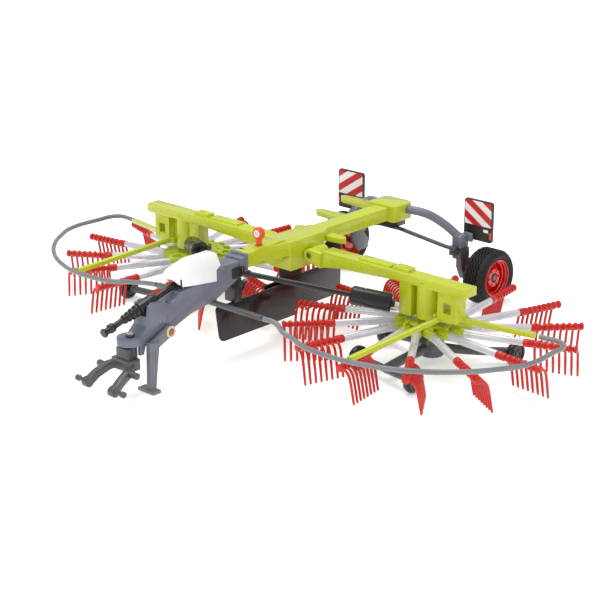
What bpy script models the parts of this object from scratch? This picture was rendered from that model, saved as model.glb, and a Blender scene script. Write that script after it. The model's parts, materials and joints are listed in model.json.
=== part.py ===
"""Toy twin-rotor hay rake: drawbar frame, folding rotor arms, raking rotors, rear axle."""
import math

import bmesh
import bpy
from mathutils import Matrix, Vector

MM = 0.001
GAP = 0.3                     # clearance between neighbouring pieces
RUN = 0.35                    # radial clearance of a turning fit
ORIGIN_SHIFT_Y = 28.0         # datum to middle of the overall length

# Rotors
ROTOR_X = 110.6               # rotor axis from the machine's centre plane
ROTOR_R = 100.0               # reach of a comb bar's end
ARM_COUNT = 14
ARM_OFFSET = 9.0              # distance of an arm's centre line from the rotor axis
COMB_Z = 26.0                 # height of the comb bars
ROOT_LIFT = 1.2               # extra height of the arm tubes at the hub
COMB_LENGTH = 31.0
TUBE_R = 2.2
BAR_R = 2.3
TINE_COUNT = 8
TINE_R = 0.85
TINE_SWEEP = 10.2             # how far a tine's tip trails its bar
TINE_DROP = 22.6
PHASE = {"left": math.radians(41.36), "right": math.radians(115.42)}
HUB_R = 19.0
SPUR_END = 25.0
SPINDLE_R = 4.0

# Folding arms
HINGE_X = 16.5
HINGE_Z = 58.5
BARREL_R = 4.6
PIN_R = 1.9
ARM_END_X = 148.7
ARM_FRONT_Y = -16.1
ARM_REAR_Y = -4.5
ARM_TOP_Z = 63.4
ARM_LOW_Z = 56.9
COLUMN_LOW_Z = 35.0
HOOP_R = 1.7
HOOP_Z = 36.0
STRUT_W = 3.4

# Rear running gear
WHEEL_R = 21.0
TYRE_W = 19.0
RIM_R = 14.2
WHEEL_Y = 119.5
WHEEL_FACE_X = 78.7
KNUCKLE_X = 54.0

# Rotor wheels
ROTOR_WHEEL_R = 8.5
ROTOR_WHEEL_W = 6.0
ROTOR_WHEELS = [(-27.0, -44.0), (24.0, -50.0), (45.0, 32.0), (-44.0, 6.0)]

# Front
BAR_HALF = 6.5                # half width of the drawbar
EYE_Y = -169.0
EYE_TOP_Z = 37.6
EYE_LOW_Z = 32.6
LIP_FRONT_Y = -166.5          # front face of the stop lip behind the hitch block
LIP_LOW_Z = 25.0
LEG_PIVOT = (-143.0, 35.8)
LEG_IN_X = BAR_HALF + 1.1     # inner face of the leg's shank
LEG_OUT_X = LEG_IN_X + 4.0
GEAR_Y = -75.8                # axis of the gear cup under the headstock
GEAR_R = 7.2
GEAR_LOW_Z = 56.2
GEAR_TOP_Z = 61.4
CROSS_BAR_Y = -99.0
CROSS_BAR_Z = 42.6
CROSS_BAR_HALF = 49.0


def clear_scene():
    for obj in list(bpy.data.objects):
        bpy.data.objects.remove(obj, do_unlink=True)


def material(name, colour, roughness, metallic=0.0):
    mat = bpy.data.materials.get(name)
    if mat:
        return mat
    mat = bpy.data.materials.new(name)
    mat.use_nodes = True
    shader = mat.node_tree.nodes["Principled BSDF"]
    shader.inputs["Base Color"].default_value = (*colour, 1.0)
    shader.inputs["Roughness"].default_value = roughness
    shader.inputs["Metallic"].default_value = metallic
    mat.diffuse_color = (*colour, 1.0)
    return mat


def raw_object(bm):
    bmesh.ops.recalc_face_normals(bm, faces=bm.faces)
    mesh = bpy.data.meshes.new("solid")
    bm.to_mesh(mesh)
    bm.free()
    obj = bpy.data.objects.new("solid", mesh)
    bpy.context.scene.collection.objects.link(obj)
    return obj


def box(low, high):
    bm = bmesh.new()
    bmesh.ops.create_cube(bm, size=1.0)
    for vert in bm.verts:
        for axis in range(3):
            vert.co[axis] = low[axis] if vert.co[axis] < 0 else high[axis]
    return raw_object(bm)


def prism(outline, axis, low, high):
    """Closed outline of two coordinates, drawn out along one axis."""
    bm = bmesh.new()
    rings = []
    for level in (low, high):
        ring = []
        for a, b in outline:
            point = [a, b]
            point.insert(axis, level)
            ring.append(bm.verts.new(point))
        rings.append(ring)
    count = len(outline)
    bm.faces.new(rings[0])
    bm.faces.new(list(reversed(rings[1])))
    for i in range(count):
        j = (i + 1) % count
        bm.faces.new((rings[0][i], rings[0][j], rings[1][j], rings[1][i]))
    return raw_object(bm)


def frame_along(direction):
    direction = Vector(direction).normalized()
    return direction.to_track_quat("Z", "Y").to_matrix().to_4x4()


def revolve(profile, start, direction, sides=24):
    """Profile of (radius, distance along the axis), from the first axis point to the last."""
    bm = bmesh.new()
    rings = []
    for radius, height in profile:
        if radius < 1e-6:
            rings.append([bm.verts.new((0, 0, height))])
            continue
        ring = []
        for i in range(sides):
            angle = 2 * math.pi * i / sides
            ring.append(bm.verts.new((radius * math.cos(angle), radius * math.sin(angle), height)))
        rings.append(ring)
    pairs = list(zip(rings[:-1], rings[1:]))
    if len(rings[0]) > 1:
        pairs.append((rings[-1], rings[0]))
    for first, second in pairs:
        for i in range(sides):
            j = (i + 1) % sides
            if len(first) == 1 and len(second) == 1:
                break
            if len(first) == 1:
                bm.faces.new((first[0], second[i], second[j]))
            elif len(second) == 1:
                bm.faces.new((first[i], first[j], second[0]))
            else:
                bm.faces.new((first[i], first[j], second[j], second[i]))
    matrix = Matrix.Translation(start) @ frame_along(direction)
    bmesh.ops.transform(bm, matrix=matrix, verts=bm.verts)
    return raw_object(bm)


def cylinder(start, end, radius, sides=16, end_radius=None):
    start = Vector(start)
    end = Vector(end)
    length = (end - start).length
    last = radius if end_radius is None else end_radius
    return revolve([(0, 0), (radius, 0), (last, length), (0, length)], start, end - start, sides)


def sweep(points, section, up=(0, 0, 1)):
    """Section of (side, up) offsets carried along a path with mitred corners."""
    points = [Vector(p) for p in points]
    up = Vector(up)
    bm = bmesh.new()
    rings = []
    for i, point in enumerate(points):
        before = (points[i] - points[i - 1]).normalized() if i else None
        after = (points[i + 1] - points[i]).normalized() if i < len(points) - 1 else None
        if before is None:
            tangent = after
        elif after is None:
            tangent = before
        else:
            tangent = (before + after).normalized()
        reference = after or before
        stretch = 1.0 / max(0.3, tangent.dot(reference))
        side = tangent.cross(up).normalized()
        rise = side.cross(tangent).normalized()
        turn = Vector((0, 0, 0))
        if before is not None and after is not None:
            turn = (after - before)
        ring = []
        for a, b in section:
            offset = side * a + rise * b
            if turn.length > 1e-6:
                unit = turn.normalized()
                offset = offset + unit * (offset.dot(unit) * (stretch - 1.0))
            ring.append(bm.verts.new(point + offset))
        rings.append(ring)
    count = len(section)
    bm.faces.new(list(reversed(rings[0])))
    bm.faces.new(rings[-1])
    for first, second in zip(rings[:-1], rings[1:]):
        for i in range(count):
            j = (i + 1) % count
            bm.faces.new((first[i], first[j], second[j], second[i]))
    return raw_object(bm)


def round_section(radius, sides=8):
    step = 2 * math.pi / sides
    return [(radius * math.cos(step * i), radius * math.sin(step * i)) for i in range(sides)]


def flat_section(width, height):
    a, b = width / 2, height / 2
    return [(-a, -b), (a, -b), (a, b), (-a, b)]


def tidy(mesh):
    """Triangles only, with coincident points welded, so the next cut stays closed."""
    bm = bmesh.new()
    bm.from_mesh(mesh)
    bmesh.ops.remove_doubles(bm, verts=bm.verts, dist=0.0005)
    bmesh.ops.dissolve_degenerate(bm, dist=0.0005, edges=bm.edges)
    bmesh.ops.triangulate(bm, faces=bm.faces)
    bm.to_mesh(mesh)
    bm.free()


def boolean(base, tool, operation):
    tidy(base.data)
    tidy(tool.data)
    modifier = base.modifiers.new("cut", "BOOLEAN")
    modifier.operation = operation
    modifier.solver = "EXACT"
    modifier.object = tool
    graph = bpy.context.evaluated_depsgraph_get()
    mesh = bpy.data.meshes.new_from_object(base.evaluated_get(graph))
    base.modifiers.clear()
    base.data = mesh
    bpy.data.objects.remove(tool, do_unlink=True)
    return base


def solid(adds, cuts=()):
    base = adds[0]
    for tool in adds[1:]:
        boolean(base, tool, "UNION")
    for tool in cuts:
        boolean(base, tool, "DIFFERENCE")
    return base


def merge_apart(objects):
    """Several solids that do not touch, held as one mesh."""
    bm = bmesh.new()
    for obj in objects:
        bm.from_mesh(obj.data)
        bpy.data.objects.remove(obj, do_unlink=True)
    return raw_object(bm)


def copy_turned(obj, matrix):
    bm = bmesh.new()
    bm.from_mesh(obj.data)
    bmesh.ops.transform(bm, matrix=matrix, verts=bm.verts)
    return raw_object(bm)


def mirrored(obj):
    return copy_turned(obj, Matrix.Scale(-1, 4, (1, 0, 0)))


def finish(name, obj, mat, origin=(0, 0, 0)):
    """Name the piece, convert to metres and put its origin on its joint axis."""
    centre = Vector(origin)
    mesh = obj.data
    bm = bmesh.new()
    bm.from_mesh(mesh)
    bmesh.ops.remove_doubles(bm, verts=bm.verts, dist=0.0005)
    bmesh.ops.dissolve_limit(bm, angle_limit=math.radians(0.05), verts=bm.verts, edges=bm.edges)
    bmesh.ops.translate(bm, vec=-centre, verts=bm.verts)
    bmesh.ops.scale(bm, vec=(MM, MM, MM), verts=bm.verts)
    bm.to_mesh(mesh)
    bm.free()
    obj.name = name
    mesh.name = name
    mesh.materials.clear()
    mesh.materials.append(mat)
    obj.location = (centre + Vector((0, ORIGIN_SHIFT_Y, 0))) * MM
    return obj


def palette():
    return {
        "lime": material("lime_plastic", (0.52, 0.62, 0.03), 0.35),
        "slate": material("slate_plastic", (0.17, 0.19, 0.24), 0.4),
        "dark": material("dark_grey_plastic", (0.09, 0.09, 0.095), 0.35),
        "grey": material("grey_plastic", (0.22, 0.23, 0.23), 0.4),
        "white": material("white_plastic", (0.85, 0.85, 0.86), 0.3),
        "black": material("black_plastic", (0.02, 0.02, 0.02), 0.45),
        "rubber": material("tyre_rubber", (0.025, 0.025, 0.025), 0.75),
        "red": material("red_plastic", (0.72, 0.03, 0.02), 0.35),
        "orange": material("orange_plastic", (0.8, 0.12, 0.03), 0.35),
    }


# ---------------------------------------------------------------- front end

def build_drawbar():
    side = [
        (LIP_FRONT_Y, LIP_LOW_Z), (LIP_FRONT_Y + 3.3, LIP_LOW_Z), (-161.5, 30.5), (-144.5, 33.3),
        (-122, 41.2), (-98.9, 44.8), (-93.5, 47), (-70, 57.6), (-70, 66.5), (-92.5, 66.5), (-94, 62),
        (-131, 58.5), (-134.5, 54.5), (-141, 52.5), (-144, 56.6), (-156, 57.6), (-159, 54),
        (-160, 42.5), (-165.5, EYE_TOP_Z), (LIP_FRONT_Y, EYE_LOW_Z),
    ]
    bar = prism(side, 0, -BAR_HALF, BAR_HALF)
    disc = [(0, EYE_LOW_Z), (8.3, EYE_LOW_Z), (8.3, EYE_TOP_Z), (0, EYE_TOP_Z)]
    eye = revolve(disc, (0, EYE_Y - 0.5, 0), (0, 0, 1))
    neck = box((-7.2, EYE_Y, EYE_LOW_Z), (7.2, -162, EYE_TOP_Z))
    cheeks = box((-7.2, -158.5, 41.5), (7.2, -144, 56.4))
    collar = box((-8.2, -98.4, 57.8), (8.2, -91.5, 65.8))
    block = box((-7.4, -76, GEAR_TOP_Z + GAP), (7.4, -70.8, 68.2))
    plate = box((-7.4, -71, 58), (7.4, -68.5, 70))
    boss = cylinder((BAR_HALF - 1, *LEG_PIVOT), (BAR_HALF + 2.3, *LEG_PIVOT), 2.6)
    adds = [bar, eye, neck, cheeks, collar, block, plate, boss]
    cup = [(0, GEAR_LOW_Z - GAP), (GEAR_R + GAP, GEAR_LOW_Z - GAP), (GEAR_R + GAP, GEAR_TOP_Z + GAP)]
    cup = cup + [(0, GEAR_TOP_Z + GAP)]
    cuts = [
        cylinder((0, EYE_Y, 20), (0, EYE_Y, 60), 2.2 + RUN),
        box((-4.2, -169, 20), (4.2, -150, 29.8)),
        prism([(-175, 44.6), (-130.5, 56.6), (-130.5, 80), (-175, 80)], 0, -4.8, 4.8),
        cylinder((0, EYE_Y, 20), (0, EYE_Y, EYE_LOW_Z - 0.8), 5.0, 20),
        revolve(cup, (0, GEAR_Y, 0), (0, 0, 1), 28),
        cylinder((0, GEAR_Y, 40), (0, GEAR_Y, 58), 3.0 + GAP),
    ]
    return solid(adds, cuts)


def build_hood():
    outline = [
        (-135.5, 68.3), (-129, 61.8), (-98.9, 58.2), (-98.9, 66.2), (-94.4, 68.3), (-94.4, 75),
        (-97, 77), (-119.5, 77), (-134, 70.5),
    ]
    body = prism(outline, 0, -8.2, 8.2)
    trims = []
    for sign in (-1, 1):
        ridge = [(sign * 8.4, 66.5), (sign * 2.2, 78.5), (sign * 9.5, 78.5)]
        trims.append(prism(ridge, 1, -140, -90))
        nose = [(sign * 3.8, -137), (sign * 8.8, -124), (sign * 8.8, -137)]
        trims.append(prism(nose, 2, 55, 85))
    trims.append(box((-BAR_HALF - GAP, -130, 50), (BAR_HALF + GAP, -92, 66.8)))
    channel = [(-131, 60), (-131, 66.5), (-119.5, 71.5), (-108, 71.5), (-108, 60)]
    trims.append(prism(channel, 0, -3.4, 3.4))
    trims.append(prism([(-137, 55), (-137, 65.5), (-128, 67.5), (-128, 55)], 0, -3.4, 3.4))
    return solid([body], trims)


def build_hitch():
    top = EYE_LOW_Z - 1.2
    block = box((-5.4, -176.4, 19.6), (5.4, -171.2, top))
    boss = cylinder((0, EYE_Y, 19.6), (0, EYE_Y, top), 4.5, 16)
    waist = box((-4.0, -172, 19.6), (4.0, EYE_Y, top))
    base = box((-8.5, -178, 17), (8.5, -168.5, 24.4))
    arc = []
    for i in range(9):
        angle = math.pi * i / 8
        rise = 19.6 - 1.0 * (1 - math.sin(angle))
        arc.append((9.6 * math.cos(angle), -180.0 + 7.6 * math.sin(angle), rise))
    path = [(12.3, -194.5, 11.2), (11.4, -188, 15.2)] + arc
    path = path + [(-11.4, -188, 15.2), (-12.3, -194.5, 11.2)]
    fork = sweep(path, flat_section(4.6, 5.2))
    adds = [block, boss, waist, base, fork]
    for sign in (-1, 1):
        adds.append(cylinder((sign * 8.5, -180, 18.1), (sign * 18.4, -180, 18.1), 2.3, 10))
        x = sign * 12.3
        adds.append(cylinder((x - 2.5, -195, 11), (x + 2.5, -195, 11), 3.4, 12))
        adds.append(cylinder((sign * 11, -195, 11.4), (sign * 20.5, -195, 11.4), 1.5, 10))
        adds.append(cylinder((sign * 19.5, -195, 11.4), (sign * 22.5, -195, 11.4), 2.1, 10))
    fork = solid(adds)
    stem = [(0, top - 1.2), (2.2, top - 1.2), (2.2, EYE_TOP_Z + 0.3), (3.1, EYE_TOP_Z + 0.3)]
    stem = stem + [(3.1, EYE_TOP_Z + 1.1), (2.5, EYE_TOP_Z + 1.7), (0, EYE_TOP_Z + 1.7)]
    pin = revolve(stem, (0, EYE_Y, 0), (0, 0, 1), 20)
    return solid([fork, pin])


def build_leg():
    y, z = LEG_PIVOT
    x_in, x_out = LEG_IN_X, LEG_OUT_X
    shank = prism([(-162.5, 33), (-154, 33), (-158.2, 2), (-163.3, 2)], 0, x_in, x_out)
    foot = box((1.3, -165.2, 0), (16.2, -158.6, 2.2))
    link = [(-158, 26), (-160, 33), (y - 1, z + 4), (y + 4, z), (y - 1, z - 4)]
    upper = prism(link, 0, x_in, x_out - 1.4)
    boss = cylinder((BAR_HALF + GAP, y, z), (x_in + 1.5, y, z), 4.2, 24)
    grooves = []
    for front, rear in ((-161.2, -160.4), (-158.6, -157.8)):
        groove = [(front - 0.6, 5), (rear - 0.6, 5), (rear, 31), (front, 31)]
        grooves.append(prism(groove, 0, x_out - 0.5, x_out + 1))
    bore = cylinder((0, y, z), (20, y, z), 2.6 + RUN)
    return solid([shank, foot, upper, boss], [bore] + grooves)


def build_input_shaft():
    start = Vector((0, -114.0, 66.0))
    end = Vector((0, -191.0, 45.2))
    profile = [(0, 0), (2.1, 0), (2.1, 33.5), (3.8, 35), (4.3, 37), (4.3, 49)]
    at = 49.0
    for radius in (4.1, 3.8, 3.4, 3.0):
        profile = profile + [(radius - 0.7, at + 0.3), (radius, at + 1.2)]
        profile = profile + [(radius, at + 2.6), (radius - 0.7, at + 3.4)]
        at = at + 3.5
    profile = profile + [(2.0, 64), (2.0, 70.5), (3.1, 71), (3.1, 74.5), (2.2, 75), (2.2, 77.5)]
    profile = profile + [(3.0, 78), (3.0, 80), (0, 80)]
    return revolve(profile, start, end - start, 14)


# ---------------------------------------------------------------- middle

def build_gearbox():
    low, high, r = GEAR_LOW_Z, GEAR_TOP_Z, GEAR_R
    profile = [(0, low), (r - 2.2, low), (r - 0.6, low + 0.9), (r, low + 2.2), (r, high - 0.5)]
    profile = profile + [(r - 0.5, high), (0, high)]
    cup = revolve(profile, (0, GEAR_Y, 0), (0, 0, 1), 28)
    top = [(-79.2, 37.1), (-72.2, 37.1), (-72.2, 55.9), (-79.2, 52.9)]
    post = prism(top, 0, -5, 5)
    neck = cylinder((0, GEAR_Y, 50), (0, GEAR_Y, low + 1), 3.0)
    return solid([cup, post, neck])


def build_cross_bar():
    half = CROSS_BAR_HALF
    path = [(-half, CROSS_BAR_Y, CROSS_BAR_Z), (half, CROSS_BAR_Y, CROSS_BAR_Z)]
    return sweep(path, flat_section(3.6, 3.0))


def build_centre_frame():
    plan = [
        (-6.2, -68.2), (6.2, -68.2), (6.2, -52), (8.8, -32), (10.6, -30), (10.6, 4), (6.4, 12),
        (6.4, 80), (-6.4, 80), (-6.4, 12), (-10.6, 4), (-10.6, -30), (-8.8, -32), (-6.2, -52),
    ]
    body = prism(plan, 2, 59.6, 69.4)
    front_low = prism([(-67.5, 60), (-52, 58), (-32, 55), (-32, 62), (-67.5, 62)], 0, -6.1, 6.1)
    crown = [(-68.2, 69), (-60, 69.8), (-34, 71), (-28, 69.3), (-28, 66), (-68.2, 66)]
    front_top = prism(crown, 0, -6.1, 6.1)
    core = box((-10.6, -30, 48.6), (10.6, 4, 62))
    plate = [(-12, 79), (12, 79), (13, 83), (13, 98), (10, 101), (-10, 101), (-13, 98), (-13, 83)]
    head = prism(plate, 2, 59, 71)
    adds = [body, front_low, front_top, core, head]
    for sign in (-1, 1):
        x = sign * HINGE_X
        adds.append(cylinder((x, -9.4, HINGE_Z), (x, -2.2, HINGE_Z), BARREL_R, 20))
        low, high = HINGE_Z - BARREL_R + 0.1, HINGE_Z + BARREL_R - 0.1
        web = [(sign * 10, 52), (x, low), (x, high), (sign * 10, 62)]
        adds.append(prism(web, 1, -9.4, -2.2))
        adds.append(cylinder((x, -18.6, HINGE_Z), (x, -8, HINGE_Z), PIN_R, 12))
        lug = [(sign * 6, 7), (sign * 22, 9), (sign * 24, 12), (sign * 21, 15), (sign * 6, 17)]
        adds.append(prism(lug, 2, 61.5, 65.5))
    adds.append(prism([(-6, 41), (-31, 43.5), (-35, 46.5), (-30, 49.5), (-6, 51.5)], 2, 63.8, 68))
    adds.append(prism([(-12.5, 82.5), (-42, 84), (-45, 86.5), (-43, 90), (-12.5, 90.6)], 2, 63, 67.6))
    cuts = []
    for sign in (-1, 1):
        x = sign * HINGE_X
        sleeve = [(PIN_R, 0), (BARREL_R + 0.7, 0), (BARREL_R + 0.7, 10.6), (PIN_R, 10.6)]
        cuts.append(revolve(sleeve, (x, -20.2, HINGE_Z), (0, 1, 0), 24))
    cuts.append(box((-1.6, -53.2, 60), (1.6, -47.8, 80)))
    return solid(adds, cuts)


def build_lever():
    stem = prism([(-52.8, 62), (-48.2, 62), (-48.6, 76), (-52.4, 76)], 0, -1.3, 1.3)
    disc = cylinder((0, -52.5, 78.5), (0, -48.5, 78.5), 4.2, 20)
    recess = cylinder((0, -54, 78.5), (0, -51.9, 78.5), 2.4, 16)
    return solid([stem, disc], [recess])


def build_curtain_front():
    r = 6.0
    outline = [(-93.5, 35.0), (-92, 36.8), (-16, 36.8), (-16, 11)]
    for i in range(4):
        angle = math.radians(90 * i / 3)
        outline.append((-86.5 - r * math.sin(angle) * 0.75, 11 + r * (1 - math.cos(angle))))
    return prism(outline, 0, 0.2, 1.8)


def build_curtain_rear():
    panel = prism([(-40, 37), (-40, 11.5), (34, 11.5), (40, 17), (40, 37)], 0, -6.4, -4.8)
    hanger = box((-6.4, -24, 36), (-4.8, -2, 48.3))
    return solid([panel, hanger])


# ---------------------------------------------------------------- rear end

def build_axle_half():
    path = [
        (13.4, 94.4, 66.4), (16.5, 94.5, 66.4), (23, 96.6, 65.9), (30, 100, 63.6), (38, 103.6, 59),
        (44, 107, 53.8), (49.5, 110.6, 47.5),
    ]
    tube = sweep(path, round_section(3.2, 10))
    block = box((45.6, 105.2, 41.6), (53.6, 115.4, 51.0))
    stay = box((47.5, 112.2, 45), (58.5, 115.4, 56))
    bore = cylinder((KNUCKLE_X - 4.4, 111.2, 38), (KNUCKLE_X - 4.4, 111.2, 48.4), 1.6 + RUN, 12)
    return solid([tube, block, stay], [bore])


def build_knuckle():
    x = KNUCKLE_X - 4.4
    pin = cylinder((x, 111.2, 36), (x, 111.2, 48), 1.6, 12)
    body = box((x - 4.0, 106.4, 33), (x + 4.0, 116.6, 41.2))
    stub_arm = prism([(x - 2.2, 107), (x - 2.2, 99.8), (x + 2.2, 99.8), (x + 2.2, 107)], 2, 37.4, 40.6)
    rear = WHEEL_Y + 3.5
    outline = [(107.4, 34), (107.4, 27), (112, 17.2), (rear, 17.2), (rear, 25), (116, 34)]
    drop = prism(outline, 0, x - 1.2, x + 4.0)
    axle = cylinder((x, WHEEL_Y, WHEEL_R), (WHEEL_FACE_X - 4.5, WHEEL_Y, WHEEL_R), 2.4, 16)
    return solid([pin, body, stub_arm, drop, axle])


def build_tie_rod():
    x = KNUCKLE_X - 4.4
    z = 42.6
    path = [
        (-x, 101.4, z), (-x + 7, 100.6, z + 0.4), (-9, 91, 51.4), (9, 91, 51.4),
        (x - 7, 100.6, z + 0.4), (x, 101.4, z),
    ]
    bar = sweep(path, flat_section(4.0, 1.8))
    eyes = []
    for end in (-x, x):
        eyes.append(cylinder((end, 101.4, z - 1.5), (end, 101.4, z + 1.5), 3.0, 16))
    return solid([bar] + eyes)


def build_steer_block():
    return box((-9, 82, 53.6), (9, 97, 58.7))


def build_tyre():
    r, w = WHEEL_R, TYRE_W
    bead = RIM_R + GAP
    profile = [
        (bead, 1.6), (r - 3.6, 0), (r - 1.4, 1.2), (r, 3.6), (r, w - 3.6), (r - 1.4, w - 1.2),
        (r - 3.6, w), (bead, w - 1.6),
    ]
    return revolve(profile, (WHEEL_FACE_X - w, WHEEL_Y, r), (1, 0, 0), 36)


def build_rim():
    w = TYRE_W
    profile = [
        (2.4 + RUN, 3.5), (7.5, 3.5), (8.5, 7.0), (RIM_R - 1.6, 7.0), (RIM_R - 1.2, 1.4),
        (RIM_R, 1.4), (RIM_R, w - 1.4), (RIM_R - 1.2, w - 1.4), (RIM_R - 1.9, 9.2), (8.6, 9.2),
        (6.6, w - 4.2), (2.4 + RUN, w - 4.2),
    ]
    return revolve(profile, (WHEEL_FACE_X - w, WHEEL_Y, WHEEL_R), (1, 0, 0), 32)


def build_board():
    r = 2.0
    low_x, high_x, low_z, high_z = 48.2, 73.3, 47.4, 77.8
    corners = [
        (high_x - r, high_z - r, 0), (low_x + r, high_z - r, 90), (low_x + r, low_z + r, 180),
        (high_x - r, low_z + r, 270),
    ]
    outline = []
    for cx, cz, first in corners:
        for i in range(4):
            angle = math.radians(first + 30 * i)
            outline.append((cx + r * math.cos(angle), cz + r * math.sin(angle)))
    return prism(outline, 1, 115.8, 118.2)


# ---------------------------------------------------------------- arms and rotors, built for the left side

def build_arm():
    side = [
        (22.2, 51.5), (27, 51.2), (43, 54.2), (95, 57.4), (ARM_END_X - 2.5, ARM_LOW_Z),
        (ARM_END_X, ARM_LOW_Z + 0.6), (ARM_END_X, ARM_TOP_Z), (26.5, ARM_TOP_Z), (22.2, 61),
    ]
    beam = prism(side, 1, ARM_FRONT_Y, ARM_REAR_Y)
    barrel = cylinder((HINGE_X, -18.6, HINGE_Z), (HINGE_X, -9.7, HINGE_Z), BARREL_R, 20)
    low, high = HINGE_Z - BARREL_R + 0.1, HINGE_Z + BARREL_R - 0.1
    cheek = prism([(HINGE_X, low), (27, 51.4), (27, 62), (HINGE_X, high)], 1, -18.6, -9.7)
    adds = [beam, barrel, cheek]
    adds.append(box((57, -13.8, 62), (84, -5.5, 64.9)))
    adds.append(box((87, -13.8, 62), (100, -6.0, 65.9)))
    adds.append(box((94.2, -15.6, COLUMN_LOW_Z), (104.2, -6, 58)))
    adds.append(cylinder((113.4, -8.6, COLUMN_LOW_Z), (113.4, -8.6, 60), 8.0, 28))
    adds.append(cylinder((ROTOR_X, 0, COLUMN_LOW_Z), (ROTOR_X, 0, 57.2), 7.6, 28))
    adds.append(box((103, -9.5, COLUMN_LOW_Z), (128, -5.2, 58)))
    adds.append(box((125.8, -15.6, 38), (141, -4.8, 58)))
    adds.append(box((122, -14.8, 36.6), (136, -1.5, 41)))
    strut = flat_section(STRUT_W, 3.2)
    adds.append(sweep([(127, -8, 38.8), (126.6, -104.0, HOOP_Z + 0.4)], strut))
    adds.append(sweep([(130, -8, 38.8), (188.5, 5.2, HOOP_Z + 1.0)], strut))
    cuts = [
        cylinder((HINGE_X, -25, HINGE_Z), (HINGE_X, 0, HINGE_Z), PIN_R + RUN, 16),
        cylinder((ROTOR_X, 0, 30), (ROTOR_X, 0, 41), SPINDLE_R - 0.5 + GAP, 20),
        box((130.5, -20, 43.5), (136.5, 0, 50.5)),
    ]
    clear_r = BARREL_R + 0.7
    root = [(0, -0.3), (clear_r, -0.3), (clear_r, 20), (0, 20)]
    cuts.append(revolve(root, (HINGE_X, -9.4, HINGE_Z), (0, 1, 0), 20))
    return solid(adds, cuts)


def hoop_path():
    z = HOOP_Z
    points = [(CROSS_BAR_HALF + 1.0, CROSS_BAR_Y, CROSS_BAR_Z)]
    points = points + [(61, -99, 42), (68, -99.6, z + 1.6), (78, -100.6, z)]
    for degrees in (-103, -92, -80, -68, -56, -44, -32, -20):
        angle = math.radians(degrees)
        points.append((ROTOR_X + 107.5 * math.cos(angle), 107.5 * math.sin(angle), z))
    points = points + [(ROTOR_X + 101.5, -8, z), (ROTOR_X + 101.0, 1.5, z)]
    return points + [(ROTOR_X + 97.5, 7.2, z), (190.8, 6.9, z + 0.6)]


def build_hoop():
    return sweep(hoop_path(), round_section(HOOP_R, 8))


def arm_turn(index):
    """Turn of one of the arms about the rotor's own axis."""
    step = 2 * math.pi / ARM_COUNT
    return Matrix.Rotation(step * index + math.asin(ARM_OFFSET / ROTOR_R), 4, "Z")


def arm_unit():
    """One tube with its comb, lying along +X with the tines trailing towards +Y."""
    reach = math.sqrt(ROTOR_R ** 2 - ARM_OFFSET ** 2)
    inner = reach - COMB_LENGTH
    root = 12.0
    bar = cylinder((inner, 0, 0), (reach, 0, 0), BAR_R, 6)
    tube = cylinder((root, 0, ROOT_LIFT), (inner + 2, 0, 0), TUBE_R - 0.05, 8)
    adds = [bar, tube]
    step = (COMB_LENGTH - 2.6) / (TINE_COUNT - 1)
    section = [(-TINE_R, -TINE_R), (TINE_R, -TINE_R), (TINE_R, TINE_R), (-TINE_R, TINE_R)]
    for i in range(TINE_COUNT):
        x = inner + 1.3 + i * step
        path = [(x, 0, 0), (x, TINE_SWEEP * 0.62, -3.4), (x, TINE_SWEEP, -TINE_DROP)]
        adds.append(sweep(path, section, up=(1, 0, 0)))
    return solid(adds)


def build_rotor():
    unit = arm_unit()
    copies = []
    for k in range(ARM_COUNT):
        copies.append(copy_turned(unit, arm_turn(k) @ Matrix.Translation((0, -ARM_OFFSET, COMB_Z))))
    bpy.data.objects.remove(unit, do_unlink=True)
    star = merge_apart(copies)
    rim = 17.0
    low, high = COMB_Z - 1.0, COMB_Z + 3.2
    profile = [(SPINDLE_R + RUN, low), (rim, low), (rim, high), (SPINDLE_R + RUN, high)]
    return solid([revolve(profile, (0, 0, 0), (0, 0, 1), 28), star])


def build_hub():
    low = COMB_Z + ROOT_LIFT + TUBE_R + GAP
    bore = SPINDLE_R + RUN
    profile = [(bore, low), (HUB_R, low), (HUB_R, low + 2.2), (bore, low + 2.2)]
    adds = [revolve(profile, (0, 0, 0), (0, 0, 1), 28)]
    near, far = -ARM_OFFSET - 2.7, -ARM_OFFSET + 2.7
    for k in range(ARM_COUNT):
        spur = box((14.5, near, low + 0.1), (SPUR_END - 1.5, far, low + 2.9))
        adds.append(copy_turned(spur, arm_turn(k)))
        bpy.data.objects.remove(spur, do_unlink=True)
    return solid(adds)


def build_bearing():
    low = COMB_Z + ROOT_LIFT + TUBE_R + GAP + 3.3
    high = COLUMN_LOW_Z - GAP
    bore = SPINDLE_R + RUN
    profile = [(bore, low), (9.5, low), (9.5, high), (bore, high)]
    return revolve(profile, (ROTOR_X, 0, 0), (0, 0, 1), 24)


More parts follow.
